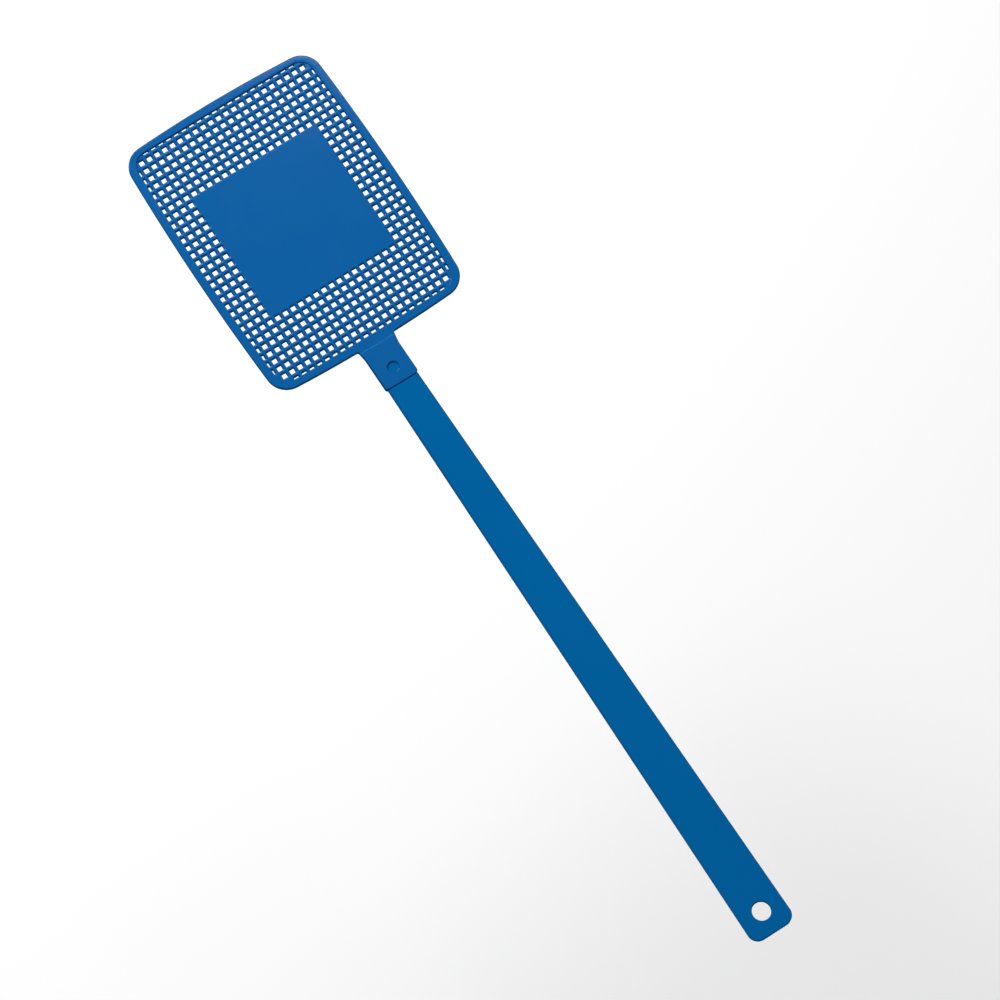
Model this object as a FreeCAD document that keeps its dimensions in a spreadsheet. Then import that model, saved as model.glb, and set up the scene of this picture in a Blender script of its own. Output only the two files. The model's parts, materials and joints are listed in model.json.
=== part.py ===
import FreeCAD, Part
import math
import os

import Sketcher
from FreeCAD import Vector

# Plastic fly swatter in two mouldings: a soft perforated head with a socket on its neck, and a
# stiff tapered strip handle whose tongue snaps into that socket.
# The swatter lies face up: X across the head, +Y from the grip towards the top of the head,
# Z = 0 at the back of the socket. The origin is under the middle of the whole length.

DIMENSIONS = {
    "overall_length": 449.5,
    # both mouldings are symmetric about this height
    "parting_height": 2.25,
    # head outline: four slightly bulging edges with round corners
    "head_width": 102.5,
    "head_length": 133.7,
    "side_radius": 1200.0,
    "end_radius": 680.0,
    "corner_radius": 10.1,
    # inner edge of the thick rim; it and the grid sit a little above the outline's centre
    "grid_lift": 0.35,
    "rim_inner_width": 95.2,
    "rim_inner_length": 125.2,
    "rim_inner_side_radius": 1085.0,
    "rim_inner_end_radius": 2800.0,
    "rim_inner_corner_radius": 6.6,
    "rim_thickness": 2.6,
    "rim_edge_radius": 0.5,
    # thin perforated web with a plain square panel in its middle
    "web_thickness": 1.5,
    "grid_pitch": 4.05,
    "grid_columns": 24,
    "grid_rows": 30,
    "panel_cells": 16,
    "opening_front_width": 2.52,
    "opening_back_width": 2.14,
    "opening_ledge": 0.15,
    # neck and socket
    "neck_fillet": 2.7,
    "neck_overlap": 1.0,
    "socket_width": 16.8,
    "socket_length": 21.6,
    "socket_thickness": 4.5,
    "socket_start": 0.9,
    "socket_step": 0.6,
    "socket_corner_radius": 1.0,
    "socket_edge_radius": 0.3,
    "cavity_width": 13.4,
    "cavity_thickness": 2.5,
    "cavity_depth": 18.0,
    "snap_hole_radius": 2.8,
    "snap_hole_distance": 7.6,
    "groove_width": 5.7,
    "groove_depth": 0.65,
    "groove_overlap": 0.2,
    # handle
    "handle_thickness": 2.4,
    "handle_width_socket": 15.65,
    "handle_width_end": 21.85,
    "handle_end_radius": 5.0,
    "handle_edge_radius": 0.4,
    "shoulder_gap": 0.1,
    "tongue_width": 13.2,
    "tongue_length": 17.0,
    "tongue_corner_radius": 1.5,
    "tongue_tip_chamfer": 0.6,
    "pip_radius": 2.6,
    "pip_height": 0.6,
    "pip_low_side": 0.1,
    "hanging_hole_radius": 4.25,
    "hanging_hole_distance": 10.9,
}

doc = FreeCAD.newDocument("fly_swatter")
sheet = doc.addObject("Spreadsheet::Sheet", "dimensions")
for row, (alias, value) in enumerate(DIMENSIONS.items(), start=1):
    sheet.set("A%d" % row, alias)
    sheet.set("B%d" % row, str(value))
    sheet.setAlias("B%d" % row, alias)
doc.recompute()


def cell(alias):
    """A sheet alias as it is written in an expression."""
    return "dimensions." + alias


def size(alias):
    """The present value of a driving dimension."""
    return float(sheet.get(alias))


# Places along Y, as expressions for the sketches and as present values.
HEAD_CENTRE = "(dimensions.overall_length - dimensions.head_length) / 2"
HEAD_BOTTOM = "(dimensions.overall_length / 2 - dimensions.head_length)"
MOUTH = "(dimensions.overall_length / 2 - dimensions.head_length - dimensions.socket_length)"
head_centre = (size("overall_length") - size("head_length")) / 2
head_bottom = head_centre - size("head_length") / 2
grid_centre = head_centre + size("grid_lift")
mouth = head_bottom - size("socket_length")
handle_end = -size("overall_length") / 2
handle_top = mouth - size("shoulder_gap")

# The longest distance, in millimetres, at which two places count as the same.
TOLERANCE = 1e-3


def new_body(label):
    body = doc.addObject("PartDesign::Body", label)
    body.Label = label
    return body


def plane(body, role):
    """One of the body's own origin planes or axes."""
    for feature in body.Origin.OriginFeatures:
        if feature.Role == role:
            return feature
    raise ValueError(role)


def new_sketch(body, name, role="XY_Plane", across="0", up="0", out="0"):
    """A sketch on an origin plane, moved across, up and out of that plane by expressions."""
    sketch = body.newObject("Sketcher::SketchObject", name)
    sketch.AttachmentSupport = [(plane(body, role), "")]
    sketch.MapMode = "FlatFace"
    sketch.setExpression("AttachmentOffset.Base.x", across)
    sketch.setExpression("AttachmentOffset.Base.y", up)
    sketch.setExpression("AttachmentOffset.Base.z", out)
    return sketch


def constrain(sketch, kind, *arguments, expression=None):
    """Adds a constraint and binds its value to the sheet."""
    number = sketch.addConstraint(Sketcher.Constraint(kind, *arguments))
    if expression is not None:
        sketch.setExpression("Constraints[%d]" % number, expression)
    return number


def polygon(sketch, points):
    """A closed polygon; gives the numbers of its edges."""
    edges = []
    for start, end in zip(points, points[1:] + points[:1]):
        edges.append(sketch.addGeometry(Part.LineSegment(Vector(*start, 0), Vector(*end, 0)), False))
    for edge, after in zip(edges, edges[1:] + edges[:1]):
        constrain(sketch, "Coincident", edge, 2, after, 1)
    return edges


def place_point(sketch, edge, end, x_value, x_expression, y_value, y_expression):
    """Fixes a point of a sketch by its distances from the sketch's origin."""
    for kind, value, expression in (
        ("DistanceX", x_value, x_expression),
        ("DistanceY", y_value, y_expression),
    ):
        if value >= 0:
            constrain(sketch, kind, -1, 1, edge, end, value, expression=expression)
        else:
            constrain(sketch, kind, edge, end, -1, 1, -value, expression="-(%s)" % expression)


def fixed_polygon(sketch, corners):
    """A closed polygon whose corners are (x, x expression, y, y expression)."""
    edges = polygon(sketch, [(corner[0], corner[2]) for corner in corners])
    for edge, corner in zip(edges, corners):
        place_point(sketch, edge, 1, *corner)


def centred_rectangle(sketch, width, height):
    """A rectangle about the sketch's origin, from two aliases."""
    half_width = size(width) / 2
    half_height = size(height) / 2
    edges = polygon(
        sketch,
        [
            (-half_width, -half_height),
            (half_width, -half_height),
            (half_width, half_height),
            (-half_width, half_height),
        ],
    )
    constrain(sketch, "Horizontal", edges[0])
    constrain(sketch, "Vertical", edges[1])
    constrain(sketch, "Horizontal", edges[2])
    constrain(sketch, "Vertical", edges[3])
    constrain(sketch, "Symmetric", edges[0], 1, edges[2], 1, -1, 1)
    constrain(sketch, "DistanceX", edges[0], 1, edges[0], 2, 2 * half_width, expression=cell(width))
    constrain(sketch, "DistanceY", edges[1], 1, edges[1], 2, 2 * half_height, expression=cell(height))


def circle(sketch, radius):
    """A circle about the sketch's origin."""
    number = sketch.addGeometry(Part.Circle(Vector(0, 0, 0), Vector(0, 0, 1), size(radius)), False)
    constrain(sketch, "Coincident", number, 3, -1, 1)
    constrain(sketch, "Radius", number, size(radius), expression=cell(radius))


def bulging_outline(sketch, width, length, side_radius, end_radius, corner_radius, lift=None):
    """A round-cornered rectangle with bulging edges: eight arcs that meet tangentially.

    Its centre is on the sketch's origin, or above it by the alias lift.
    """
    centre_up = size(lift) if lift else 0.0
    CENTRE_UP = cell(lift) if lift else "0"
    side_centre = size(width) / 2 - size(side_radius)
    end_centre = size(length) / 2 - size(end_radius)
    side_reach = size(side_radius) - size(corner_radius)
    end_reach = size(end_radius) - size(corner_radius)
    corner_x = size(width) / 2 - size(corner_radius)
    corner_y = size(length) / 2 - size(corner_radius)
    for _ in range(30):
        corner_x = side_centre + math.sqrt(side_reach**2 - corner_y**2)
        corner_y = end_centre + math.sqrt(end_reach**2 - corner_x**2)
    side_turn = math.atan2(corner_y, corner_x - side_centre)
    end_turn = math.atan2(corner_x, corner_y - end_centre)
    quarter = math.pi / 2
    arcs = []
    for turn in range(4):
        on_side = turn % 2 == 0
        straight_radius = size(side_radius) if on_side else size(end_radius)
        straight_centre = side_centre if on_side else end_centre
        straight_turn = side_turn if on_side else end_turn
        corner_start = straight_turn
        corner_end = quarter - (end_turn if on_side else side_turn)
        corner_out, corner_up = (corner_x, corner_y) if on_side else (corner_y, corner_x)
        angle = turn * quarter
        cosine = round(math.cos(angle))
        sine = round(math.sin(angle))
        for out, up, radius, start, end in (
            (straight_centre, 0.0, straight_radius, -straight_turn, straight_turn),
            (corner_out, corner_up, size(corner_radius), corner_start, corner_end),
        ):
            centre = Vector(out * cosine - up * sine, out * sine + up * cosine + centre_up, 0)
            arc = Part.ArcOfCircle(
                Part.Circle(centre, Vector(0, 0, 1), radius), start + angle, end + angle
            )
            arcs.append(sketch.addGeometry(arc, False))
    for arc, after in zip(arcs, arcs[1:] + arcs[:1]):
        constrain(sketch, "Tangent", arc, 2, after, 1)
    for corner in arcs[1::2]:
        constrain(sketch, "Radius", corner, size(corner_radius), expression=cell(corner_radius))
    for arc, across, along, extent, radius in (
        (arcs[0], -1, 0, width, side_radius),
        (arcs[2], 0, -1, length, end_radius),
        (arcs[4], 1, 0, width, side_radius),
        (arcs[6], 0, 1, length, end_radius),
    ):
        reach = size(radius) - size(extent) / 2
        REACH = "(%s - %s / 2)" % (cell(radius), cell(extent))
        constrain(sketch, "Radius", arc, size(radius), expression=cell(radius))
        place_point(
            sketch,
            arc,
            3,
            across * reach,
            "%d * %s" % (across, REACH),
            along * reach + centre_up,
            "%d * %s + %s" % (along, REACH, CENTRE_UP),
        )


def pad(body, name, sketch, length, symmetric=True):
    feature = body.newObject("PartDesign::Pad", name)
    feature.Profile = sketch
    feature.SideType = "Symmetric" if symmetric else "One side"
    feature.setExpression("Length", length)
    feature.Refine = False
    return feature


def pocket(body, name, sketch, depth, symmetric=False):
    feature = body.newObject("PartDesign::Pocket", name)
    feature.Profile = sketch
    feature.SideType = "Symmetric" if symmetric else "One side"
    feature.setExpression("Length", depth)
    feature.Refine = False
    return feature


def dress_edges(body, kind, name, base, chosen, extent, value):
    """A fillet or a chamfer on the edges of a feature that a test picks out."""
    doc.recompute()
    names = ["Edge%d" % number for number, edge in enumerate(base.Shape.Edges, start=1) if chosen(edge)]
    if not names:
        raise RuntimeError("no edge for " + name)
    feature = body.newObject("PartDesign::" + kind, name)
    feature.Base = (base, names)
    feature.setExpression(extent, value)
    return feature


def fillet(body, name, base, chosen, radius):
    return dress_edges(body, "Fillet", name, base, chosen, "Radius", radius)


def chamfer(body, name, base, chosen, width):
    return dress_edges(body, "Chamfer", name, base, chosen, "Size", width)


def is_upright(edge):
    """True for a straight edge along Z."""
    return edge.Curve.TypeId == "Part::GeomLine" and abs(edge.tangentAt(edge.FirstParameter).z) > 0.999


def lies_at(edge, height):
    """True for an edge that lies flat at a height."""
    box = edge.BoundBox
    return abs(box.ZMin - height) < TOLERANCE and abs(box.ZMax - height) < TOLERANCE


def is_at(edge, along):
    """True for an edge whose middle is at a distance along Y."""
    return abs(edge.BoundBox.Center.y - along) < TOLERANCE


def removes(before, after, low, high, name):
    """Stops the build unless a cut took away a volume between two limits."""
    doc.recompute()
    removed = before - after.Shape.Volume
    if not low < removed < high:
        raise RuntimeError("%s removes %.2f mm3" % (name, removed))


# ---------------------------------------------------------------- head
# The head is drawn whole, with an unbroken web, and its openings are cut last.
head = new_body("head_blank")
web_outline = new_sketch(head, "web_outline", up=HEAD_CENTRE, out=cell("parting_height"))
bulging_outline(
    web_outline, "head_width", "head_length", "side_radius", "end_radius", "corner_radius"
)
web = pad(head, "web", web_outline, cell("web_thickness"))
rim_outline = new_sketch(head, "rim_outline", up=HEAD_CENTRE, out=cell("parting_height"))
bulging_outline(
    rim_outline, "head_width", "head_length", "side_radius", "end_radius", "corner_radius"
)
bulging_outline(
    rim_outline,
    "rim_inner_width",
    "rim_inner_length",
    "rim_inner_side_radius",
    "rim_inner_end_radius",
    "rim_inner_corner_radius",
    "grid_lift",
)
rim = pad(head, "rim", rim_outline, cell("rim_thickness"))
doc.recompute()

# The rim's outer edges are rounded front and back.
rim_front = size("parting_height") + size("rim_thickness") / 2
rim_back = size("parting_height") - size("rim_thickness") / 2
rim_inside, rim_outside = sorted(rim_outline.Shape.Wires, key=lambda wire: wire.BoundBox.DiagonalLength)


def is_outer_rim_edge(edge):
    middle = edge.valueAt((edge.FirstParameter + edge.LastParameter) / 2)
    middle.z = size("parting_height")
    on_outline = rim_outside.distToShape(Part.Vertex(middle))[0] < TOLERANCE
    return on_outline and (lies_at(edge, rim_front) or lies_at(edge, rim_back))


rim_rounding = fillet(head, "rim_rounding", rim, is_outer_rim_edge, cell("rim_edge_radius"))

# The neck widens into the rim with a round fillet on each side, at the thickness of the rim.
neck_reach = size("socket_width") / 2 + size("neck_fillet")
half_socket = size("socket_width") / 2
NECK_REACH = "(dimensions.socket_width / 2 + dimensions.neck_fillet)"
neck_outline = new_sketch(head, "neck_outline", up=HEAD_BOTTOM, out=cell("parting_height"))
neck_inside = size("neck_overlap")
neck_fillet = size("neck_fillet")
quarter_turn = math.pi / 2
neck_edges = [
    Part.LineSegment(Vector(-neck_reach, neck_inside, 0), Vector(-neck_reach, 0, 0)),
    Part.ArcOfCircle(
        Part.Circle(Vector(-neck_reach, -neck_fillet, 0), Vector(0, 0, 1), neck_fillet),
        0,
        quarter_turn,
    ),
    Part.LineSegment(Vector(-half_socket, -neck_fillet, 0), Vector(half_socket, -neck_fillet, 0)),
    Part.ArcOfCircle(
        Part.Circle(Vector(neck_reach, -neck_fillet, 0), Vector(0, 0, 1), neck_fillet),
        quarter_turn,
        2 * quarter_turn,
    ),
    Part.LineSegment(Vector(neck_reach, 0, 0), Vector(neck_reach, neck_inside, 0)),
    Part.LineSegment(Vector(neck_reach, neck_inside, 0), Vector(-neck_reach, neck_inside, 0)),
]
left, left_arc, across_neck, right_arc, right, top = neck_outline.addGeometry(neck_edges, False)
for first, first_end, second, second_end in (
    (left, 2, left_arc, 2),
    (left_arc, 1, across_neck, 1),
    (across_neck, 2, right_arc, 2),
    (right_arc, 1, right, 1),
    (right, 2, top, 1),
    (top, 2, left, 1),
):
    constrain(neck_outline, "Coincident", first, first_end, second, second_end)
constrain(neck_outline, "Vertical", left)
constrain(neck_outline, "Vertical", right)
constrain(neck_outline, "Horizontal", top)
constrain(neck_outline, "Horizontal", across_neck)
for arc, centre, expression in (
    (left_arc, -neck_reach, "-" + NECK_REACH),
    (right_arc, neck_reach, NECK_REACH),
):
    place_point(neck_outline, arc, 3, centre, expression, -neck_fillet, "-dimensions.neck_fillet")
    constrain(neck_outline, "Radius", arc, neck_fillet, expression=cell("neck_fillet"))
constrain(neck_outline, "Horizontal", left_arc, 1, left_arc, 3)
constrain(neck_outline, "Vertical", left, 2, left_arc, 3)
constrain(neck_outline, "Vertical", right, 1, right_arc, 3)
constrain(
    neck_outline, "DistanceY", -1, 1, top, 1, neck_inside, expression=cell("neck_overlap")
)
neck = pad(head, "neck", neck_outline, cell("rim_thickness"))

# The socket, drawn from the side: it rises from the neck by a short slope, front and back.
socket_side = new_sketch(
    head, "socket_side", role="YZ_Plane", across=HEAD_BOTTOM, up=cell("parting_height")
)
START = "-dimensions.socket_start"
FULL = "-(dimensions.socket_start + dimensions.socket_step)"
LENGTH = "-dimensions.socket_length"
HALF_RIM = "dimensions.rim_thickness / 2"
HALF_SOCKET = "dimensions.socket_thickness / 2"
start = -size("socket_start")
full = start - size("socket_step")
length = -size("socket_length")
half_rim = size("rim_thickness") / 2
half_thickness = size("socket_thickness") / 2
fixed_polygon(
    socket_side,
    [
        (start, START, half_rim, HALF_RIM),
        (full, FULL, half_thickness, HALF_SOCKET),
        (length, LENGTH, half_thickness, HALF_SOCKET),
        (length, LENGTH, -half_thickness, "-" + HALF_SOCKET),
        (full, FULL, -half_thickness, "-" + HALF_SOCKET),
        (start, START, -half_rim, "-" + HALF_RIM),
    ],
)
socket = pad(head, "socket", socket_side, cell("socket_width"))


def is_mouth_corner(edge):
    return is_upright(edge) and is_at(edge, mouth)


socket_corners = fillet(
    head, "socket_corners", socket, is_mouth_corner, cell("socket_corner_radius")
)


def is_socket_face_edge(edge):
    box = edge.BoundBox
    on_face = lies_at(edge, size("socket_thickness")) or lies_at(edge, 0)
    return on_face and abs(box.Center.x) > size("socket_width") / 2 - size("socket_corner_radius")


socket_rounding = fillet(
    head, "socket_rounding", socket_corners, is_socket_face_edge, cell("socket_edge_radius")
)

# The flat cavity that takes the tongue opens at the mouth and runs towards the head.
cavity_section = new_sketch(
    head, "cavity_section", role="XZ_Plane", up=cell("parting_height"), out="-" + MOUTH
)
centred_rectangle(cavity_section, "cavity_width", "cavity_thickness")
doc.recompute()
before_cavity = socket_rounding.Shape.Volume
cavity = pocket(head, "cavity", cavity_section, cell("cavity_depth"))
cavity_volume = size("cavity_width") * size("cavity_thickness") * size("cavity_depth")
removes(before_cavity, cavity, 0.99 * cavity_volume, 1.01 * cavity_volume, "cavity")

# The round snap hole goes through the front wall only.
SNAP_CENTRE = "%s + dimensions.snap_hole_distance" % MOUTH
WALL = "(dimensions.socket_thickness - dimensions.cavity_thickness) / 2"
snap_circle = new_sketch(head, "snap_circle", up=SNAP_CENTRE, out=cell("socket_thickness"))
circle(snap_circle, "snap_hole_radius")
wall = (size("socket_thickness") - size("cavity_thickness")) / 2
before_hole = cavity.Shape.Volume
snap_hole = pocket(head, "snap_hole", snap_circle, WALL)
snap_volume = math.pi * size("snap_hole_radius") ** 2 * wall
removes(before_hole, snap_hole, 0.99 * snap_volume, 1.01 * snap_volume, "snap hole")

# A lead-in groove under the front wall, from the mouth to the snap hole.
groove_side = new_sketch(
    head, "groove_side", role="YZ_Plane", across=MOUTH, up=cell("parting_height")
)
GROOVE_LOW = "dimensions.cavity_thickness / 2 - dimensions.groove_overlap"
GROOVE_TOP = "dimensions.cavity_thickness / 2 + dimensions.groove_depth"
groove_low = size("cavity_thickness") / 2 - size("groove_overlap")
groove_top = size("cavity_thickness") / 2 + size("groove_depth")
reach = size("snap_hole_distance")
fixed_polygon(
    groove_side,
    [
        (0.0, "0", groove_low, GROOVE_LOW),
        (reach, cell("snap_hole_distance"), groove_low, GROOVE_LOW),
        (reach, cell("snap_hole_distance"), groove_top, GROOVE_TOP),
        (0.0, "0", groove_top, GROOVE_TOP),
    ],
)
before_groove = snap_hole.Shape.Volume
groove = pocket(head, "lead_in_groove", groove_side, cell("groove_width"), symmetric=True)
groove_volume = size("groove_width") * reach * size("groove_depth")
removes(before_groove, groove, 0.5 * groove_volume, groove_volume, "groove")
head.Tip = groove
doc.recompute()

# Each opening is a square funnel, widest at the front face. The openings of the outermost columns
# and rows are cut short by the rim, and stop a narrow ledge away from it.
pitch = size("grid_pitch")
half_columns = size("grid_columns") / 2
half_rows = size("grid_rows") / 2
half_panel = size("panel_cells") / 2
web_back = size("parting_height") - size("web_thickness") / 2
web_front = size("parting_height") + size("web_thickness") / 2
past_web = 0.2


def opening_square(height):
    """The outline of an opening at a height, on the line of its four drafted walls."""
    part_way = (height - web_back) / size("web_thickness")
    width = size("opening_back_width") * (1 - part_way) + size("opening_front_width") * part_way
    square = Part.makePlane(width, width, Vector(-width / 2, -width / 2, height))
    return square.OuterWire


def has_opening(across, along):
    """True for a cell of the grid, counted in pitches from the grid's centre, that is open."""
    in_panel = abs(across) < half_panel and abs(along) < half_panel
    at_corner = abs(across) > half_columns - 1 and abs(along) > half_rows - 1
    in_edge_row = abs(along) > half_rows
    beyond_edge_row = in_edge_row and abs(across) > half_columns - 2
    return not (in_panel or at_corner or beyond_edge_row)


funnel = Part.makeLoft(
    [opening_square(web_back - past_web), opening_square(web_front + past_web)], True, True
)
limit_face = Part.Face(rim_inside.makeOffset2D(-size("opening_ledge")))
limit_face.translate(Vector(0, 0, -size("web_thickness")))
limit = limit_face.extrude(Vector(0, 0, 2 * size("web_thickness")))
funnels = []
for column in range(int(size("grid_columns"))):
    for row in range(-1, int(size("grid_rows")) + 1):
        across = column + 0.5 - half_columns
        along = row + 0.5 - half_rows
        if not has_opening(across, along):
            continue
        piece = funnel.copy()
        piece.translate(Vector(across * pitch, along * pitch + grid_centre, 0))
        if abs(across) > half_columns - 1 or abs(along) > half_rows:
            piece = piece.common(limit)
        funnels.append(piece)

openings = doc.addObject("Part::Feature", "openings")
openings.Shape = Part.makeCompound(funnels)
openings.Placement = FreeCAD.Placement()
swatter_head = doc.addObject("Part::Cut", "swatter_head")
swatter_head.Label = "swatter_head"
swatter_head.Base = head
swatter_head.Tool = openings
swatter_head.Placement = FreeCAD.Placement()
least_opening = size("opening_back_width") ** 2 * size("web_thickness")
largest_opening = size("opening_front_width") ** 2 * size("web_thickness")
whole_openings = sum(1 for piece in funnels if piece.Volume > 0.99 * funnel.Volume)
removes(
    head.Shape.Volume,
    swatter_head,
    whole_openings * least_opening,
    len(funnels) * largest_opening,
    "openings",
)
print("%d openings" % len(funnels))

# ---------------------------------------------------------------- handle
handle = new_body("handle")
strip_outline = new_sketch(handle, "strip_outline", out=cell("parting_height"))
half_top = size("handle_width_socket") / 2
half_end = size("handle_width_end") / 2
half_tongue = size("tongue_width") / 2
tongue_tip = handle_top + size("tongue_length")
TOP = "%s - dimensions.shoulder_gap" % MOUTH
TIP = "%s + dimensions.tongue_length" % TOP
END = "-dimensions.overall_length / 2"
HALF_TOP = "dimensions.handle_width_socket / 2"
HALF_END = "dimensions.handle_width_end / 2"
HALF_TONGUE = "dimensions.tongue_width / 2"
HANDLE_FRONT = "dimensions.parting_height + dimensions.handle_thickness / 2"
fixed_polygon(
    strip_outline,
    [
        (-half_end, "-" + HALF_END, handle_end, END),
        (half_end, HALF_END, handle_end, END),
        (half_top, HALF_TOP, handle_top, TOP),
        (half_tongue, HALF_TONGUE, handle_top, TOP),
        (half_tongue, HALF_TONGUE, tongue_tip, TIP),
        (-half_tongue, "-" + HALF_TONGUE, tongue_tip, TIP),
        (-half_tongue, "-" + HALF_TONGUE, handle_top, TOP),
        (-half_top, "-" + HALF_TOP, handle_top, TOP),
    ],
)
strip = pad(handle, "strip", strip_outline, cell("handle_thickness"))
doc.recompute()

end_corners = fillet(
    handle,
    "end_corners",
    strip,
    lambda edge: is_upright(edge) and is_at(edge, handle_end),
    cell("handle_end_radius"),
)
tip_corners = fillet(
    handle,
    "tip_corners",
    end_corners,
    lambda edge: is_upright(edge) and is_at(edge, tongue_tip),
    cell("tongue_corner_radius"),
)

# The long edges of the strip and its end are rounded; the tongue stays square.
handle_front = size("parting_height") + size("handle_thickness") / 2
handle_back = size("parting_height") - size("handle_thickness") / 2


def is_face_edge(edge):
    """True for an edge of the handle's front or back face."""
    return lies_at(edge, handle_front) or lies_at(edge, handle_back)


def is_strip_edge(edge):
    return is_face_edge(edge) and edge.BoundBox.Center.y < handle_top - TOLERANCE


strip_rounding = fillet(
    handle, "strip_rounding", tip_corners, is_strip_edge, cell("handle_edge_radius")
)

# Hanging hole near the end of the grip.
hanging_circle = new_sketch(
    handle,
    "hanging_circle",
    up="%s + dimensions.hanging_hole_distance" % END,
    out=HANDLE_FRONT,
)
circle(hanging_circle, "hanging_hole_radius")
doc.recompute()
before_hanging = strip_rounding.Shape.Volume
hanging_hole = pocket(handle, "hanging_hole", hanging_circle, cell("handle_thickness"))
hanging_volume = math.pi * size("hanging_hole_radius") ** 2 * size("handle_thickness")
removes(before_hanging, hanging_hole, 0.99 * hanging_volume, 1.01 * hanging_volume, "hanging hole")

# The snap pip: a low round button whose top slopes down towards the tip of the tongue.
pip_circle = new_sketch(handle, "pip_circle", up=SNAP_CENTRE, out=HANDLE_FRONT)
circle(pip_circle, "pip_radius")
pip = pad(handle, "pip", pip_circle, cell("pip_height"), symmetric=False)
pip_slope = new_sketch(handle, "pip_slope", role="YZ_Plane", across=SNAP_CENTRE, up=HANDLE_FRONT)
pip_radius = size("pip_radius")
fixed_polygon(
    pip_slope,
    [
        (-pip_radius / 2, "-dimensions.pip_radius / 2", size("pip_height"), cell("pip_height")),
        (pip_radius, cell("pip_radius"), size("pip_low_side"), cell("pip_low_side")),
        (pip_radius, cell("pip_radius"), size("pip_height"), cell("pip_height")),
    ],
)
doc.recompute()
before_slope = pip.Shape.Volume
slope = pocket(handle, "pip_ramp", pip_slope, "2 * dimensions.pip_radius", symmetric=True)
removes(before_slope, slope, 1.0, math.pi * pip_radius**2 * size("pip_height"), "pip ramp")

tip_chamfer = chamfer(
    handle,
    "tip_chamfer",
    slope,
    lambda edge: is_face_edge(edge) and is_at(edge, tongue_tip),
    cell("tongue_tip_chamfer"),
)
handle.Tip = tip_chamfer
doc.recompute()

# ---------------------------------------------------------------- export
for thing in doc.Objects:
    if "Invalid" in thing.State or "Error" in thing.State:
        raise RuntimeError("%s is %s" % (thing.Name, thing.State))
    if thing.TypeId == "Sketcher::SketchObject" and not thing.FullyConstrained:
        raise RuntimeError(thing.Name + " is not fully constrained")

os.makedirs("parts", exist_ok=True)
for body in (swatter_head, handle):
    if body.Shape.isNull() or not body.Shape.isValid() or len(body.Shape.Solids) != 1:
        raise RuntimeError(body.Label + " is not one valid solid")
    body.Shape.exportStep("parts/%s.step" % body.Label)
    print("%s %.1f mm3" % (body.Label, body.Shape.Volume))
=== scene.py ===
import json
import math

import bmesh
import bpy
from mathutils import Matrix, Vector


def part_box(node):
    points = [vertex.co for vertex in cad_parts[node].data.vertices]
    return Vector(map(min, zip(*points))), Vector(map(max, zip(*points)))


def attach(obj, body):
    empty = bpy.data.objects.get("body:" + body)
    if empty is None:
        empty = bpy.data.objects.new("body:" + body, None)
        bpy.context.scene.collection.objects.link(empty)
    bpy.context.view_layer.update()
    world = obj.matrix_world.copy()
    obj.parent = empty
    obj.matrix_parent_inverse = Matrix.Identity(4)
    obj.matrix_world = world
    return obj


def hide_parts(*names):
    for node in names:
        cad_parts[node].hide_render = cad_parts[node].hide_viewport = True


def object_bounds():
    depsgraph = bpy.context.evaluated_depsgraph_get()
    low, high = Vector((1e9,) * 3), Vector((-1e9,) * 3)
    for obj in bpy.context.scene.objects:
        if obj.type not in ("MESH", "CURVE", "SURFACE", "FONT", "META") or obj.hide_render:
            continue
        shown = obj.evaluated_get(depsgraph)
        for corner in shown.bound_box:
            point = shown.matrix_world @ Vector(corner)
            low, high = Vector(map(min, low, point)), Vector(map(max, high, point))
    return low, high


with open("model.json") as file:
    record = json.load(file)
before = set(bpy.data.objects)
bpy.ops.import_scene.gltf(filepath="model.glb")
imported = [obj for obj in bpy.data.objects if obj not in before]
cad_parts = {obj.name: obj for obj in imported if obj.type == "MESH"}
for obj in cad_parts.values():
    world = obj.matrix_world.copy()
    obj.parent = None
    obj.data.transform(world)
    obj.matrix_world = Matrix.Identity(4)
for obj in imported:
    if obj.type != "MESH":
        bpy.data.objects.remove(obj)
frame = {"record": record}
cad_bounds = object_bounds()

# Plastic fly swatter in two mouldings: a soft perforated head whose socket snaps onto a stiff strip
# handle. It lies face up: X across the head, +Y towards the head's top, Z = 0 at the socket's back.
# All lengths are in metres.
MM = 0.001
head_low, head_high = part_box("swatter_head")
handle_low, handle_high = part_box("handle")
MIDDLE = (head_low.z + head_high.z) / 2

# ---------------------------------------------------------------- sizes of the head
HEAD_WIDTH = head_high.x - head_low.x
HEAD_LENGTH = 133.7 * MM
HEAD_CENTRE = head_high.y - HEAD_LENGTH / 2
HEAD_BOTTOM = head_high.y - HEAD_LENGTH
GRID_LIFT = 0.35 * MM
GRID_CENTRE = HEAD_CENTRE + GRID_LIFT
MOUTH = head_low.y
# A rim edge: its centre's height, width, length, and the radii of its sides, ends and corners.
OUTER_RIM = (HEAD_CENTRE, HEAD_WIDTH, HEAD_LENGTH, 1200 * MM, 680 * MM, 10.1 * MM)
INNER_RIM = (GRID_CENTRE, 95.2 * MM, 125.2 * MM, 1085 * MM, 2800 * MM, 6.6 * MM)
INNER_LOW_BULGE = 0.55 * MM
INNER_LOW_RADIUS = 1600 * MM
RIM_HALF_THICKNESS = 1.3 * MM
RIM_EDGE = 0.5 * MM
RIM_INNER_EDGE = 0.22 * MM

PITCH = 4.05 * MM
COLUMNS = 24
ROWS = 30
PANEL_CELLS = 16
WEB_HALF_THICKNESS = 0.75 * MM
WEB_FRONT = MIDDLE + WEB_HALF_THICKNESS
WEB_BACK = MIDDLE - WEB_HALF_THICKNESS
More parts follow.
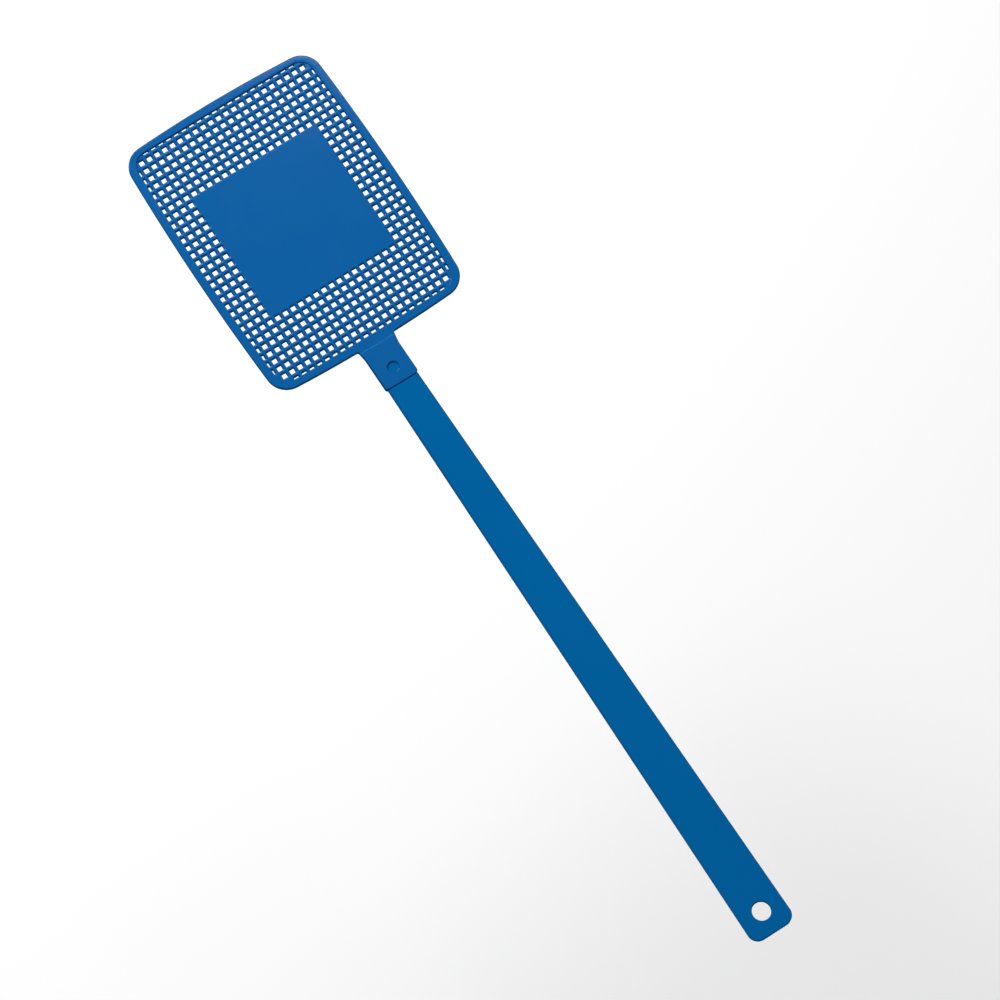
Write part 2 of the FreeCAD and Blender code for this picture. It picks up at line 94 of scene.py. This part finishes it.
# Half widths of an opening, front and back; along Y it is shorter by a little at each end.
OPENING_FRONT = 1.26 * MM
OPENING_BACK = 1.07 * MM
OPENING_CORNER = 0.08 * MM
OPENING_SHORTER = 0.09 * MM
CROWN_WIDTH = 0.68 * MM
CROWN_DROP = 0.55 * MM
CROWN_STEPS = 6
BACK_EDGE = 0.1 * MM
BORDER_STRAIGHT = 1.1 * MM
CORNER_LIMIT = 8.9 * MM

NECK_FILLET = 0.9 * MM
NECK_FLARE = 0.8 * MM
NECK_FLARE_ANGLE = math.radians(9)
NECK_OVERLAP = 0.3 * MM
SOCKET_HALF_WIDTH = 8.4 * MM
SOCKET_START = 0.9 * MM
SOCKET_STEP = 0.6 * MM
SOCKET_RISE_AT_NECK = 0.2
SOCKET_FRONT = MIDDLE + 1.75 * MM
SOCKET_CORNER = 1.3 * MM
SOCKET_EDGE = 0.2 * MM
SOCKET_NECK_CORNER = 0.3 * MM
CAVITY_HALF_WIDTH = 6.7 * MM
CAVITY_HALF_THICKNESS = 1.25 * MM
CAVITY_DEPTH = 18 * MM
CAVITY_CORNER = 0.5 * MM
CAVITY_EDGE = 0.1 * MM
SNAP_RADIUS = 2.8 * MM
SNAP_CENTRE = MOUTH + 7.6 * MM
SNAP_LIP = 0.15 * MM
SNAP_BELOW = 0.15 * MM
GROOVE_HALF_WIDTH = 2.85 * MM
GROOVE_DEPTH = 0.2 * MM
GROOVE_CORNER = 0.2 * MM
GROOVE_EDGE = 0.15 * MM

# ---------------------------------------------------------------- sizes of the handle
HANDLE_HALF_THICKNESS = 1.2 * MM
HANDLE_FRONT = MIDDLE + HANDLE_HALF_THICKNESS
MOUTH_GAP = 0.1 * MM
HANDLE_TOP = MOUTH - MOUTH_GAP
HANDLE_END = handle_low.y
HALF_WIDTH_TOP = 7.825 * MM
HALF_WIDTH_END = 10.925 * MM
HANDLE_CORNER = 5 * MM
HANDLE_EDGE = 0.4 * MM
SHOULDER_CORNER = 0.3 * MM
TONGUE_HALF_WIDTH = 6.6 * MM
TONGUE_TIP = handle_high.y
TONGUE_CORNER = 1.5 * MM
TONGUE_EDGE = 0.3 * MM
# The tongue is a hair thinner than the strip, so that no two faces lie in one plane.
TONGUE_THINNER = 0.002 * MM
PIP_RADIUS = 2.75 * MM
PIP_HEIGHT = 0.15 * MM
PIP_EDGE = 0.08 * MM
WELL_RADIUS = 2.65 * MM
WELL_DEPTH = 0.5 * MM
WELL_EDGE = 0.6 * MM
HOLE_LIP = 0.5 * MM
hanging_hole = next(m for m in frame["record"]["mounts"] if m["name"] == "hanging_hole")
HOLE_RADIUS = hanging_hole["dims"]["r_mm"] * MM
HOLE_CENTRE = hanging_hole["pos_m"][1]

QUARTER = math.pi / 2
SAME_PLACE = 1e-7
KEY_STEP = 0.01 * MM
CORNER_STEPS = 6
STRIP_CORNER_STEPS = 12
FILLET_STEPS = 10
RIM_EDGE_STEPS = 24
RIM_CORNER_STEPS = 12
CIRCLE_STEPS = 48
ROUNDING_STEPS = 5
INNER_ROUNDING_STEPS = 3
HIDDEN_ROUNDING_STEPS = 2
CORNER_PASSES = 30
SHARP_ANGLE = math.radians(32)
BURIED = 1.0 * MM


# ---------------------------------------------------------------- outlines
# An outline is a list of arcs (centre x, centre y, radius, start angle, end angle, steps), joined
# by straight lines and counter-clockwise about the solid. An arc that turns the other way is concave.
def bulging_corner(width, length, side_radius, end_radius, corner_radius):
    """The upper right corner's centre, and where the side and the end meet its arc."""
    side_centre = width / 2 - side_radius
    end_centre = length / 2 - end_radius
    x = width / 2 - corner_radius
    y = length / 2 - corner_radius
    for _ in range(CORNER_PASSES):
        x = side_centre + math.sqrt((side_radius - corner_radius) ** 2 - y**2)
        y = end_centre + math.sqrt((end_radius - corner_radius) ** 2 - x**2)
    return x, y, math.atan2(y, x - side_centre), math.atan2(x, y - end_centre)


def bulging_arcs(y, width, length, side_radius, end_radius, corner_radius, low_bulge=0, low_radius=None):
    """A round-cornered rectangle with bulging edges, its centre at a height y."""
    low_radius = low_radius or end_radius
    low_length = length + 2 * low_bulge
    side_centre = width / 2 - side_radius
    end_centre = length / 2 - end_radius
    low_centre = low_length / 2 - low_radius
    corner_x, corner_y, side_turn, end_turn = bulging_corner(
        width, length, side_radius, end_radius, corner_radius
    )
    low_x, low_y, low_side_turn, low_end_turn = bulging_corner(
        width, low_length, side_radius, low_radius, corner_radius
    )
    half_turn = 2 * QUARTER
    low_turn = 3 * QUARTER
    full_turn = 4 * QUARTER
    edge = RIM_EDGE_STEPS
    corner = RIM_CORNER_STEPS
    return [
        (side_centre, y, side_radius, -low_side_turn, side_turn, edge),
        (corner_x, y + corner_y, corner_radius, side_turn, QUARTER - end_turn, corner),
        (0, y + end_centre, end_radius, QUARTER - end_turn, QUARTER + end_turn, edge),
        (-corner_x, y + corner_y, corner_radius, QUARTER + end_turn, half_turn - side_turn, corner),
        (-side_centre, y, side_radius, half_turn - side_turn, half_turn + low_side_turn, edge),
        (-low_x, y - low_y, corner_radius, half_turn + low_side_turn, low_turn - low_end_turn, corner),
        (0, y - low_centre, low_radius, low_turn - low_end_turn, low_turn + low_end_turn, edge),
        (low_x, y - low_y, corner_radius, low_turn + low_end_turn, full_turn - low_side_turn, corner),
    ]


def with_neck(arcs):
    """The head's outline, its lower edge led by a fillet and a flare into each side of the socket."""
    x, y, radius, start, end, steps = arcs[6]
    reach = SOCKET_HALF_WIDTH + NECK_FLARE + NECK_FILLET
    turn = math.asin(reach / (radius + NECK_FILLET))
    fillet_y = y - (radius + NECK_FILLET) * math.cos(turn)
    flare_top = reach - NECK_FILLET * math.cos(NECK_FLARE_ANGLE)
    inside = SOCKET_HALF_WIDTH - NECK_OVERLAP
    flare_end = fillet_y - (flare_top - inside) / math.tan(NECK_FLARE_ANGLE)
    flare_turn = 2 * QUARTER - NECK_FLARE_ANGLE
    neck = [
        (x, y, radius, start, 3 * QUARTER - turn, steps // 2),
        (-reach, fillet_y, NECK_FILLET, QUARTER - turn, NECK_FLARE_ANGLE, FILLET_STEPS),
        (-inside, flare_end, 0, 0, 0, 0),
        (inside, flare_end, 0, 0, 0, 0),
        (reach, fillet_y, NECK_FILLET, flare_turn, QUARTER + turn, FILLET_STEPS),
        (x, y, radius, 3 * QUARTER + turn, end, steps // 2),
    ]
    return arcs[:6] + neck + arcs[7:]


def polygon_arcs(corners, steps=CORNER_STEPS):
    """A convex polygon with rounded corners, given counter-clockwise as (x, y, corner radius)."""
    arcs = []
    for before, here, after in zip(corners[-1:] + corners[:-1], corners, corners[1:] + corners[:1]):
        corner = Vector(here[:2])
        arriving = (corner - Vector(before[:2])).normalized()
        leaving = (Vector(after[:2]) - corner).normalized()
        outward_before = Vector((arriving.y, -arriving.x))
        outward_after = Vector((leaving.y, -leaving.x))
        both = outward_before + outward_after
        centre = corner - both * here[2] / (1 + outward_before.dot(outward_after))
        start = math.atan2(outward_before.y, outward_before.x)
        turn = outward_before.angle_signed(outward_after) * -1
        arcs.append((centre.x, centre.y, here[2], start, start + turn, steps))
    return arcs


def circle_arcs(y, radius):
    return [(0, y, radius, 0, 4 * QUARTER, CIRCLE_STEPS)]


def outline(arcs, inset):
    """The outline's points, moved inwards by a distance."""
    points = []
    for x, y, radius, start, end, steps in arcs:
        reach = radius - inset if end > start else radius + inset
        if steps == 0:
            reach = 0
        for step in range(steps + 1):
            angle = start + (end - start) * step / max(steps, 1)
            point = Vector((x + reach * math.cos(angle), y + reach * math.sin(angle)))
            if not points or (point - points[-1]).length > SAME_PLACE:
                points.append(point)
    if (points[0] - points[-1]).length < SAME_PLACE:
        points.pop()
    return points


def quarter_turns(steps=ROUNDING_STEPS):
    return [QUARTER * step / steps for step in range(steps + 1)]


def rounded_edge(high, radius, steps=ROUNDING_STEPS):
    """(inset, height) pairs down the rounded upper edge of a wall."""
    turns = quarter_turns(steps)
    return [(radius * (1 - math.sin(turn)), high - radius * (1 - math.cos(turn))) for turn in turns]


def rounded_levels(low, high, radius, steps=ROUNDING_STEPS):
    """(inset, height) pairs down a wall whose two edges are rounded."""
    top = rounded_edge(high, radius, steps)
    bottom = [(inset, low + high - height) for inset, height in reversed(top)]
    return top + bottom


def wall(arcs, levels, side=1):
    """Rings of points down a wall; side is -1 for the wall of a hole, which widens at its edges."""
    return [[(x, y, height) for x, y in outline(arcs, side * inset)] for inset, height in levels]


# ---------------------------------------------------------------- solids
def join_rings(mesh, upper, lower):
    for n, vertex in enumerate(upper):
        after = (n + 1) % len(upper)
        mesh.faces.new((vertex, lower[n], lower[after], upper[after]))


def new_object(name, mesh):
    """An object from a bmesh, with its faces turned outwards."""
    bmesh.ops.recalc_face_normals(mesh, faces=mesh.faces)
    data = bpy.data.meshes.new(name)
    mesh.to_mesh(data)
    mesh.free()
    made = bpy.data.objects.new(name, data)
    bpy.context.scene.collection.objects.link(made)
    return made


def solid(name, *walls):
    """A closed solid from an outer wall and the walls of its holes, with flat ends."""
    mesh = bmesh.new()
    ends = ([], [])
    for rings in walls:
        rings = [[mesh.verts.new(point) for point in ring] for ring in rings]
        for upper, lower in zip(rings, rings[1:]):
            join_rings(mesh, upper, lower)
        for end, ring in zip(ends, (rings[0], rings[-1])):
            for first, second in zip(ring, ring[1:] + ring[:1]):
                end.append(mesh.edges.get((first, second)))
    for end in ends:
        bmesh.ops.triangle_fill(mesh, use_beauty=True, edges=end, normal=(0, 0, 1))
    return new_object(name, mesh)


def combine(base, tool, operation):
    """Joins a tool to the base or cuts it away, and deletes the tool."""
    modifier = base.modifiers.new(operation, "BOOLEAN")
    modifier.operation = operation
    modifier.solver = "MANIFOLD"
    modifier.object = tool
    bpy.context.view_layer.update()
    evaluated = base.evaluated_get(bpy.context.evaluated_depsgraph_get())
    result = bpy.data.meshes.new_from_object(evaluated)
    base.modifiers.clear()
    base.data = result
    bpy.data.objects.remove(tool)


def finish_surface(piece, material):
    """Smooth shading between sharp edges, with flat faces kept flat."""
    piece.data.name = piece.name
    piece.data.materials.clear()
    piece.data.materials.append(material)
    piece.data.shade_smooth()
    piece.data.set_sharp_from_angle(angle=SHARP_ANGLE)
    weighted = piece.modifiers.new("weighted_normals", "WEIGHTED_NORMAL")
    weighted.mode = "FACE_AREA_WITH_ANGLE"
    weighted.keep_sharp = True


# ---------------------------------------------------------------- head
def all_round(quarter):
    """A ring of points from those of its first quarter."""
    return [
        (x * cosine - y * sine, x * sine + y * cosine)
        for cosine, sine in ((1, 0), (0, 1), (-1, 0), (0, -1))
        for x, y in quarter
    ]


def opening_ring(half, corner):
    """Points round an opening with rounded corners: for each side its middle and its ends."""
    straight = half - corner
    diagonal = straight + corner * math.sqrt(0.5)
    quarter = [(half, 0), (half, straight), (diagonal, diagonal), (straight, half)]
    flatten = 1 - OPENING_SHORTER / half
    return [(x, y * flatten) for x, y in all_round(quarter)]


def border_ring():
    """The edge of a grid cell, with a point for each point of its opening."""
    half = PITCH / 2
    return all_round([(half, 0), (half, BORDER_STRAIGHT), (half, half), (BORDER_STRAIGHT, half)])


def opening_rings():
    """(ring, height) pairs from the crowned top of the bars down to the back of the web."""
    rings = []
    for turn in quarter_turns(CROWN_STEPS):
        half = OPENING_FRONT + CROWN_WIDTH * (1 - math.sin(turn))
        height = WEB_FRONT - CROWN_DROP * (1 - math.cos(turn))
        rings.append((opening_ring(half, OPENING_CORNER + half - OPENING_FRONT), height))
    rings.append((opening_ring(OPENING_BACK, OPENING_CORNER), WEB_BACK + BACK_EDGE))
    rings.append((opening_ring(OPENING_BACK + BACK_EDGE, OPENING_CORNER + BACK_EDGE), WEB_BACK))
    return rings


def has_opening(across, along):
    """True for a cell of the grid, counted in pitches from the head's centre, that is open."""
    in_panel = abs(across) < PANEL_CELLS / 2 and abs(along) < PANEL_CELLS / 2
    at_corner = abs(across) > COLUMNS / 2 - 1 and abs(along) > ROWS / 2 - 1
    beyond_edge_row = abs(along) > ROWS / 2 and abs(across) > COLUMNS / 2 - 2
    return not (in_panel or at_corner or beyond_edge_row)


def perforated_web():
    """The thin web, whose outer border ends inside the rim and is held back at the corners."""
    mesh = bmesh.new()
    front = {}
    back = {}
    centre = Vector((0, GRID_CENTRE))
    corner = Vector(bulging_arcs(*OUTER_RIM)[1][:2]) - centre

    def border_vertices(cell, store, height):
        vertices = []
        for step in border_ring():
            place = cell + Vector(step)
            key = (round(place.x / KEY_STEP), round(place.y / KEY_STEP))
            if key not in store:
                beyond = Vector((abs(place.x), abs(place.y))) - corner
                if min(beyond) > 0 and beyond.length > CORNER_LIMIT:
                    held = corner + beyond.normalized() * CORNER_LIMIT
                    place = Vector((math.copysign(held.x, place.x), math.copysign(held.y, place.y)))
                store[key] = mesh.verts.new((*(centre + place), height))
            vertices.append(store[key])
        return vertices

    rings = opening_rings()
    for column in range(COLUMNS):
        for row in range(-1, ROWS + 1):
            across = column + 0.5 - COLUMNS / 2
            along = row + 0.5 - ROWS / 2
            cell = Vector((across * PITCH, along * PITCH))
            front_border = border_vertices(cell, front, WEB_FRONT)
            back_border = border_vertices(cell, back, WEB_BACK)
            if not has_opening(across, along):
                mesh.faces.new(front_border)
                mesh.faces.new(back_border[::-1])
                continue
            previous = front_border
            for ring, height in rings:
                lower = [mesh.verts.new((*(centre + cell + Vector(step)), height)) for step in ring]
                join_rings(mesh, previous, lower)
                previous = lower
            join_rings(mesh, previous, back_border)
    below = {vertex: back[key] for key, vertex in front.items()}
    for edge in [edge for edge in mesh.edges if len(edge.link_faces) == 1]:
        first, second = edge.verts
        if first in below and second in below:
            mesh.faces.new((first, second, below[second], below[first]))
    return new_object("web", mesh)


def socket_block():
    """The socket without its cavity: short slopes at the neck, and a front that rises to the mouth."""
    rim_front = MIDDLE + RIM_HALF_THICKNESS
    crease = HEAD_BOTTOM - SOCKET_START
    rings = []

    def on_socket(x, y, height):
        share = SOCKET_RISE_AT_NECK + (1 - SOCKET_RISE_AT_NECK) * (crease - y) / (crease - MOUTH)
        if height > rim_front:
            height = rim_front + (height - rim_front) * share
        return (x, y, height)

    slope_heights = [MIDDLE + RIM_HALF_THICKNESS, MIDDLE - RIM_HALF_THICKNESS]
    levels = rounded_levels(head_low.z, SOCKET_FRONT, SOCKET_EDGE)
    levels += [(0, height) for height in slope_heights]
    for inset, height in sorted(levels, key=lambda level: -level[1]):
        full_half = SOCKET_FRONT - MIDDLE if height > MIDDLE else MIDDLE - head_low.z
        rise = max(abs(height - MIDDLE) - RIM_HALF_THICKNESS, 0) / (full_half - RIM_HALF_THICKNESS)
        top = HEAD_BOTTOM - SOCKET_START - SOCKET_STEP * rise
        corners = [
            (-SOCKET_HALF_WIDTH, MOUTH, SOCKET_CORNER),
            (SOCKET_HALF_WIDTH, MOUTH, SOCKET_CORNER),
            (SOCKET_HALF_WIDTH, top, SOCKET_NECK_CORNER),
            (-SOCKET_HALF_WIDTH, top, SOCKET_NECK_CORNER),
        ]
        rings.append([on_socket(x, y, height) for x, y in outline(polygon_arcs(corners), inset)])
    return solid("socket", rings)


def sharpen_slopes(piece):
    """Keeps the flat faces above and below the socket's slopes flat in the shading."""
    crease = HEAD_BOTTOM - SOCKET_START
    lines = (crease, crease - SOCKET_STEP - SOCKET_EDGE)
    points = piece.data.vertices
    for edge in piece.data.edges:
        ends = [points[n].co.y for n in edge.vertices]
        if any(max(abs(end - line) for end in ends) < KEY_STEP for line in lines):
            edge.use_edge_sharp = True


def box_arcs(half_width, low, high, corner):
    """A round-cornered rectangle on the middle line, between two heights."""
    corners = [
        (-half_width, low, corner),
        (half_width, low, corner),
        (half_width, high, corner),
        (-half_width, high, corner),
    ]
    return polygon_arcs(corners)


def head_moulding():
    """The head in one piece: rim, web and socket, then the socket's cavity, groove and snap hole."""
    rim_back = MIDDLE - RIM_HALF_THICKNESS
    rim_front = MIDDLE + RIM_HALF_THICKNESS
    rim_levels = rounded_levels(rim_back, rim_front, RIM_EDGE)
    inner_levels = rounded_levels(rim_back, rim_front, RIM_INNER_EDGE, INNER_ROUNDING_STEPS)
    inner_arcs = bulging_arcs(*INNER_RIM, INNER_LOW_BULGE, INNER_LOW_RADIUS)
    piece = solid(
        "head_moulding",
        wall(with_neck(bulging_arcs(*OUTER_RIM)), rim_levels),
        wall(inner_arcs, inner_levels, side=-1),
    )
    combine(piece, perforated_web(), "UNION")
    combine(piece, socket_block(), "UNION")
    cavity_back = MIDDLE - CAVITY_HALF_THICKNESS
    cavity_front = MIDDLE + CAVITY_HALF_THICKNESS
    cavity_levels = rounded_levels(cavity_back, cavity_front, CAVITY_EDGE, HIDDEN_ROUNDING_STEPS)
    cavity_arcs = box_arcs(CAVITY_HALF_WIDTH, MOUTH - BURIED, MOUTH + CAVITY_DEPTH, CAVITY_CORNER)
    combine(piece, solid("cavity", wall(cavity_arcs, cavity_levels)), "DIFFERENCE")
    groove_top = cavity_front + GROOVE_DEPTH
    groove_arcs = box_arcs(GROOVE_HALF_WIDTH, MOUTH - BURIED, SNAP_CENTRE, GROOVE_CORNER)
    groove_levels = rounded_levels(MIDDLE, groove_top, GROOVE_EDGE, HIDDEN_ROUNDING_STEPS)
    combine(piece, solid("groove", wall(groove_arcs, groove_levels)), "DIFFERENCE")
    snap_levels = [(SNAP_LIP, head_high.z + BURIED)]
    snap_levels += rounded_edge(SOCKET_FRONT - SNAP_BELOW, SNAP_LIP)
    snap_levels += [(0, MIDDLE + CAVITY_HALF_THICKNESS / 2)]
    snap_wall = wall(circle_arcs(SNAP_CENTRE, SNAP_RADIUS), snap_levels, side=-1)
    combine(piece, solid("snap_hole", snap_wall), "DIFFERENCE")
    return piece


# ---------------------------------------------------------------- handle
def strip():
    """The handle's strip, with its hanging hole."""
    corners = [
        (-HALF_WIDTH_END, HANDLE_END, HANDLE_CORNER),
        (HALF_WIDTH_END, HANDLE_END, HANDLE_CORNER),
        (HALF_WIDTH_TOP, HANDLE_TOP, SHOULDER_CORNER),
        (-HALF_WIDTH_TOP, HANDLE_TOP, SHOULDER_CORNER),
    ]
    low = MIDDLE - HANDLE_HALF_THICKNESS
    edge_levels = rounded_levels(low, HANDLE_FRONT, HANDLE_EDGE)
    outer = wall(polygon_arcs(corners, STRIP_CORNER_STEPS), edge_levels)
    hole_levels = rounded_levels(low, HANDLE_FRONT, HOLE_LIP)
    hole = wall(circle_arcs(HOLE_CENTRE, HOLE_RADIUS), hole_levels, side=-1)
    return solid("handle_moulding", outer, hole)


def tongue():
    """The flat tongue that goes inside the socket."""
    arcs = polygon_arcs(
        [
            (-TONGUE_HALF_WIDTH, HANDLE_TOP - BURIED, BURIED / 2),
            (TONGUE_HALF_WIDTH, HANDLE_TOP - BURIED, BURIED / 2),
            (TONGUE_HALF_WIDTH, TONGUE_TIP, TONGUE_CORNER),
            (-TONGUE_HALF_WIDTH, TONGUE_TIP, TONGUE_CORNER),
        ]
    )
    half_thickness = HANDLE_HALF_THICKNESS - TONGUE_THINNER
    tongue_back = MIDDLE - half_thickness
    tongue_front = MIDDLE + half_thickness
    levels = rounded_levels(tongue_back, tongue_front, TONGUE_EDGE, INNER_ROUNDING_STEPS)
    return solid("tongue", wall(arcs, levels))


def pip():
    """The snap pip: a low round button."""
    levels = rounded_edge(HANDLE_FRONT + PIP_HEIGHT, PIP_EDGE)
    levels.append((0, MIDDLE))
    return solid("pip", wall(circle_arcs(SNAP_CENTRE, PIP_RADIUS), levels))


def pip_well():
    """The blind well in the middle of the pip, with a rounded bottom edge."""
    floor = HANDLE_FRONT - WELL_DEPTH
    levels = [(0, HANDLE_FRONT + BURIED)]
    levels += [
        (WELL_EDGE * (1 - math.cos(turn)), floor + WELL_EDGE * (1 - math.sin(turn)))
        for turn in quarter_turns()
    ]
    return solid("pip_well", wall(circle_arcs(SNAP_CENTRE, WELL_RADIUS), levels))


def handle_moulding():
    """The handle in one piece: strip, tongue and pip, then the pip's well."""
    piece = strip()
    combine(piece, tongue(), "UNION")
    combine(piece, pip(), "UNION")
    combine(piece, pip_well(), "DIFFERENCE")
    return piece


# ---------------------------------------------------------------- materials
CLOUD_SCALE = 14
CLOUD_DETAIL = 2
CLOUD_RANGE = (0.35, 0.7)
SMEAR_SCALE = 60
SMEAR_DETAIL = 4
SMEAR_RANGE = (0.3, 0.7)
SKIN_SCALE = 2600
SKIN_DETAIL = 2
SKIN_DEPTH = 0.04 * MM


def noise(nodes, links, place, scale, detail):
    """A noise that stays with the piece, for clouds, smears or a fine skin."""
    texture = nodes.new("ShaderNodeTexNoise")
    texture.inputs["Scale"].default_value = scale
    texture.inputs["Detail"].default_value = detail
    links.new(place.outputs["Object"], texture.inputs["Vector"])
    return texture.outputs["Fac"]


def moulded_plastic(name, colours, roughness, specular, grain):
    """Coloured plastic from a mould: faint clouds of colour, uneven gloss and a fine skin."""
    material = bpy.data.materials.new(name)
    material.use_nodes = True
    nodes = material.node_tree.nodes
    links = material.node_tree.links
    shader = nodes["Principled BSDF"]
    shader.inputs["Specular IOR Level"].default_value = specular
    place = nodes.new("ShaderNodeTexCoord")

    clouds = noise(nodes, links, place, CLOUD_SCALE, CLOUD_DETAIL)
    tint = nodes.new("ShaderNodeValToRGB")
    for element, position, colour in zip(tint.color_ramp.elements, CLOUD_RANGE, colours):
        element.position = position
        element.color = (*colour, 1)
    links.new(clouds, tint.inputs["Fac"])
    links.new(tint.outputs["Color"], shader.inputs["Base Color"])

    smears = noise(nodes, links, place, SMEAR_SCALE, SMEAR_DETAIL)
    gloss = nodes.new("ShaderNodeMapRange")
    gloss.inputs["From Min"].default_value = SMEAR_RANGE[0]
    gloss.inputs["From Max"].default_value = SMEAR_RANGE[1]
    gloss.inputs["To Min"].default_value = roughness[0]
    gloss.inputs["To Max"].default_value = roughness[1]
    links.new(smears, gloss.inputs["Value"])
    links.new(gloss.outputs["Result"], shader.inputs["Roughness"])

    skin = noise(nodes, links, place, SKIN_SCALE, SKIN_DETAIL)
    bump = nodes.new("ShaderNodeBump")
    bump.inputs["Strength"].default_value = grain
    bump.inputs["Distance"].default_value = SKIN_DEPTH
    links.new(skin, bump.inputs["Height"])
    links.new(bump.outputs["Normal"], shader.inputs["Normal"])
    return material


SOFT_BLUES = ((0.0003, 0.0660, 0.214), (0.0004, 0.0682, 0.223))
SOFT_ROUGHNESS = (0.11, 0.14)
SOFT_SPECULAR = 0.11
SOFT_GRAIN = 0.15
STIFF_BLUES = ((0.0, 0.0745, 0.218), (0.0, 0.0767, 0.226))
STIFF_ROUGHNESS = (0.16, 0.20)
STIFF_SPECULAR = 0.02
STIFF_GRAIN = 0.1

# ---------------------------------------------------------------- the object
soft_plastic = moulded_plastic(
    "soft_blue_plastic", SOFT_BLUES, SOFT_ROUGHNESS, SOFT_SPECULAR, SOFT_GRAIN
)
head = head_moulding()
finish_surface(head, soft_plastic)
sharpen_slopes(head)
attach(head, "head")
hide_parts("swatter_head")

stiff_plastic = moulded_plastic(
    "stiff_blue_plastic", STIFF_BLUES, STIFF_ROUGHNESS, STIFF_SPECULAR, STIFF_GRAIN
)
handle = handle_moulding()
finish_surface(handle, stiff_plastic)
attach(handle, "handle")
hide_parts("handle")

# ---------------------------------------------------------------- floor, light and camera
scene = bpy.context.scene
scene.view_settings.view_transform = "Standard"
centre = (cad_bounds[0] + cad_bounds[1]) / 2
FLOOR_HALF_SIZE = 6.0
FLOOR_DROP = 0.5
FLOOR_WHITE = 0.74
FLOOR_ROUGHNESS = 0.9
# (share of the way from straight down to straight up, brightness)
ROOM_BRIGHTNESS = ((0.48, 0.02), (0.50, 0.4), (0.62, 0.5), (0.80, 0.45), (1.0, 0.38))


def pale_floor():
    """A plain floor well below the object, so that no shadow shows through the openings."""
    mesh = bmesh.new()
    bmesh.ops.create_grid(mesh, x_segments=2, y_segments=2, size=FLOOR_HALF_SIZE)
    floor = new_object("floor", mesh)
    floor.location = (centre.x, centre.y, head_low.z - FLOOR_DROP)
    material = bpy.data.materials.new("pale_floor")
    material.use_nodes = True
    shader = material.node_tree.nodes["Principled BSDF"]
    shader.inputs["Base Color"].default_value = (FLOOR_WHITE, FLOOR_WHITE, FLOOR_WHITE, 1)
    shader.inputs["Roughness"].default_value = FLOOR_ROUGHNESS
    shader.inputs["Specular IOR Level"].default_value = 0.0
    floor.data.materials.append(material)
    floor.visible_glossy = False


def soft_light(name, direction, distance, size, power):
    """A square area light that faces the middle of the object."""
    data = bpy.data.lights.new(name, "AREA")
    data.shape = "SQUARE"
    data.size = size
    data.energy = power
    light = bpy.data.objects.new(name, data)
    away = Vector(direction).normalized()
    light.location = centre + away * distance
    light.rotation_mode = "QUATERNION"
    light.rotation_quaternion = (-away).to_track_quat("-Z", "Y")
    scene.collection.objects.link(light)


def pale_room():
    """A world that is evenly pale above the horizon and dark below it."""
    world = bpy.data.worlds.new("studio")
    world.use_nodes = True
    nodes = world.node_tree.nodes
    links = world.node_tree.links
    place = nodes.new("ShaderNodeTexCoord")
    split = nodes.new("ShaderNodeSeparateXYZ")
    links.new(place.outputs["Generated"], split.inputs["Vector"])
    height = nodes.new("ShaderNodeMapRange")
    height.inputs["From Min"].default_value = -1
    height.inputs["From Max"].default_value = 1
    links.new(split.outputs["Z"], height.inputs["Value"])
    shade = nodes.new("ShaderNodeValToRGB")
    elements = shade.color_ramp.elements
    made = len(elements)
    for number, (position, level) in enumerate(ROOM_BRIGHTNESS):
        element = elements[number] if number < made else elements.new(position)
        element.position = position
        element.color = (level, level, level, 1)
    links.new(height.outputs["Result"], shade.inputs["Fac"])
    links.new(shade.outputs["Color"], nodes["Background"].inputs["Color"])
    scene.world = world


pale_floor()
pale_room()
# The main light stands beyond the head's top. The small one gives the sheen on the rim's corner.
soft_light("large_softbox", (-0.1, 0.70, 0.71), distance=2.2, size=1.1, power=78)
soft_light("small_softbox", (0.600, 0.985, 2.205), distance=2.49, size=0.15, power=1.1)

# The camera looks down on the face from the grip's left, with the swatter slanting across the view.
VIEW_BACK = Vector((-0.1974, -0.2026, 0.9592)).normalized()
VIEW_UP = Vector((0.5160, 0.8105, 0.2774)).normalized()
VIEW_DISTANCE = 2.416
VIEW_LENS = 198
VIEW_SENSOR = 36
VIEW_FAR = 50
VIEW_AIM = Vector((6.4 * MM, 0.9 * MM, 0))
camera_data = bpy.data.cameras.new("camera")
camera_data.lens = VIEW_LENS
camera_data.sensor_width = VIEW_SENSOR
camera_data.clip_end = VIEW_FAR
camera = bpy.data.objects.new("camera", camera_data)
right = VIEW_UP.cross(VIEW_BACK).normalized()
up = VIEW_BACK.cross(right)
turned = Matrix((right, up, VIEW_BACK)).transposed().to_4x4()
camera.matrix_world = Matrix.Translation(centre + VIEW_AIM + VIEW_BACK * VIEW_DISTANCE) @ turned
scene.collection.objects.link(camera)
scene.camera = camera
